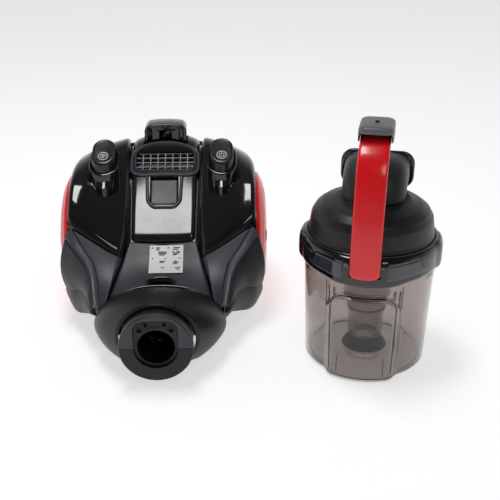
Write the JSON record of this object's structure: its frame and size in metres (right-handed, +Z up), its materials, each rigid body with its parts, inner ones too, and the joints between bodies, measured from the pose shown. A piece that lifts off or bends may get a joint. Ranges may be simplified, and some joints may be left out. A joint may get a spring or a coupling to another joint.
{
  "type": "canister vacuum cleaner",
  "caption": "Bagless canister vacuum cleaner body on two large wheels, with its lift-out dust bin, handle and cyclone standing beside it.",
  "frame": {"origin": "on the floor, under the middle of the body and the bin together", "axes": "+Z up, the hose socket faces -Y, the bin stands at +X"},
  "size_m": [0.4616, 0.4066, 0.289],
  "materials": {
    "gloss_black": "high-gloss black moulded plastic",
    "satin_black": "fine-grained satin black plastic",
    "matte_grey": "satin dark grey plastic",
    "fender_grey": "satin charcoal plastic",
    "red": "glossy red plastic",
    "tyre": "matte rubber",
    "smoke": "clear smoky polycarbonate",
    "label": "printed white film label",
    "cap_grey": "satin mid-grey plastic",
    "steel": "brushed steel",
    "foam": "open-cell foam",
    "filter": "pleated filter paper",
    "board": "green circuit board"
  },
  "bodies": {
    "body": {"chassis_tub": "satin_black", "right_shoulder_cover": "gloss_black", "left_shoulder_cover": "gloss_black", "console_cover": "gloss_black", "grille_frame": "matte_grey", "vent_grille": "satin_black", "premotor_filter": "foam", "pocket_plate": "satin_black", "handle_catch": "gloss_black", "cradle_panel": "matte_grey", "rating_label": "label", "right_wing_cover": "matte_grey", "left_wing_cover": "matte_grey", "right_fender_plate": "fender_grey", "left_fender_plate": "fender_grey", "rear_cover": "gloss_black", "exhaust_filter": "filter", "nose_hood": "satin_black", "socket_body": "satin_black", "socket_ring": "matte_grey", "contact_plate": "satin_black", "intake_duct": "satin_black", "right_pedal_spring": "steel", "left_pedal_spring": "steel", "motor": "steel", "reel_brake": "satin_black", "control_board": "board", "cord_gland": "satin_black", "right_wheel_axle": "steel", "left_wheel_axle": "steel"},
    "left_wheel": {"left_tyre": "tyre", "left_wheel_disc": "satin_black", "left_wheel_cover": "red"},
    "right_wheel": {"right_tyre": "tyre", "right_wheel_disc": "satin_black", "right_wheel_cover": "red"},
    "caster": {"caster_fork": "satin_black", "caster_axle": "steel"},
    "caster_wheel": {"caster_roller": "tyre"},
    "power_button": {"power_pedal": "gloss_black"},
    "rewind_button": {"rewind_pedal": "gloss_black"},
    "fan": {"impeller": "cap_grey"},
    "reel": {"cord_reel": "cap_grey"},
    "exhaust_door": {"exhaust_cover": "satin_black"},
    "bin": {"cup": "smoke", "cup_seal": "tyre"},
    "lid": {"bin_collar": "gloss_black", "cyclone_deck": "satin_black", "lid_dome": "satin_black", "outlet_duct": "matte_grey", "duct_flange": "gloss_black", "duct_seal": "tyre", "handle_shell": "red", "handle_liner": "satin_black", "vortex_finder": "smoke", "cyclone_barrel": "smoke", "dust_skirt": "satin_black"},
    "release": {"release_button": "cap_grey"},
    "latch": {"latch_hook": "satin_black"}
  },
  "joints": [
    {"name": "left_wheel_spin", "type": "hinge", "parent": "body", "child": "left_wheel", "pos_m": [-0.09684, 0.05274, 0.084], "axis": [1, 0, 0], "continuous": true},
    {"name": "right_wheel_spin", "type": "hinge", "parent": "body", "child": "right_wheel", "pos_m": [-0.09684, 0.05274, 0.084], "axis": [1, 0, 0], "continuous": true},
    {"name": "caster_swivel", "type": "hinge", "parent": "body", "child": "caster", "pos_m": [-0.09684, -0.07726, 0.03], "axis": [0, 0, 1], "continuous": true},
    {"name": "caster_roll", "type": "hinge", "parent": "caster", "child": "caster_wheel", "pos_m": [-0.09684, -0.06526, 0.013], "axis": [1, 0, 0], "continuous": true},
    {"name": "power_press", "type": "slide", "parent": "body", "child": "power_button", "axis": [0, 0, -1], "range_m": [0, 0.005], "stiffness_N_per_m": 400, "springref_m": -0.004, "deforming": ["right_pedal_spring"]},
    {"name": "rewind_press", "type": "slide", "parent": "body", "child": "rewind_button", "axis": [0, 0, -1], "range_m": [0, 0.005], "stiffness_N_per_m": 400, "springref_m": -0.004, "deforming": ["left_pedal_spring"]},
    {"name": "fan_spin", "type": "hinge", "parent": "body", "child": "fan", "pos_m": [-0.09684, 0.09074, 0.104], "axis": [0, 1, 0], "continuous": true},
    {"name": "reel_spin", "type": "hinge", "parent": "body", "child": "reel", "pos_m": [-0.09684, 0.01474, 0.05], "axis": [0, 0, 1], "continuous": true},
    {"name": "exhaust_door_hinge", "type": "hinge", "parent": "body", "child": "exhaust_door", "pos_m": [-0.09684, 0.19524, 0.0806], "axis": [1, 0, 0], "range_deg": [-75, 0]},
    {"name": "bin_lift", "type": "slide", "parent": "body", "child": "bin", "axis": [0, 0, 1], "range_m": [0, 0.25]},
    {"name": "lid_lift", "type": "slide", "parent": "bin", "child": "lid", "axis": [0, 0, 1], "range_m": [0, 0.16]},
    {"name": "release_press", "type": "slide", "parent": "lid", "child": "release", "axis": [0, 0, -1], "range_m": [0, 0.003], "stiffness_N_per_m": 500, "springref_m": -0.003},
    {"name": "latch_swing", "type": "hinge", "parent": "lid", "child": "latch", "pos_m": [0.15079, -0.10846, 0.266], "axis": [0.9724, -0.2334, 0], "range_deg": [-12, 0]}
  ],
  "couplings": [
    {"joint": "latch_swing", "follows": "release_press", "rad_per_m": -69}
  ]
}
